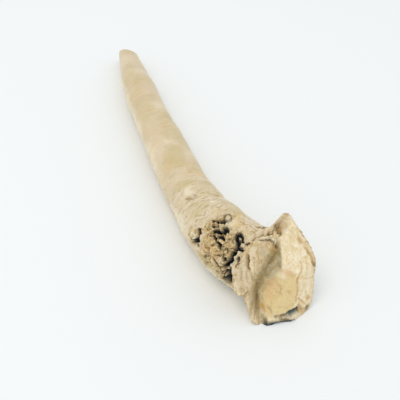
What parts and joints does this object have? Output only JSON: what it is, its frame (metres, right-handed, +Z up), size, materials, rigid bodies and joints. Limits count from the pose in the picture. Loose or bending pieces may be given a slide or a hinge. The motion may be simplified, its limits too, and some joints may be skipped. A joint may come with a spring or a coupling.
{
  "type": "horseradish root",
  "caption": "Long tapering horseradish root, gently bent, with a knife-trimmed knobbly crown, a rotten patch on its neck and a short-cut tail, lying on its side.",
  "frame": {"origin": "on the table, under the middle of the root's bounding box", "axes": "+Y along the root from crown to tail, +Z up, +X to the right when the crown is seen from the front"},
  "size_m": [0.059, 0.2994, 0.0545],
  "materials": {
    "root_skin": "dry, matt root skin"
  },
  "bodies": {
    "root": {"root": "root_skin"}
  },
  "joints": []
}
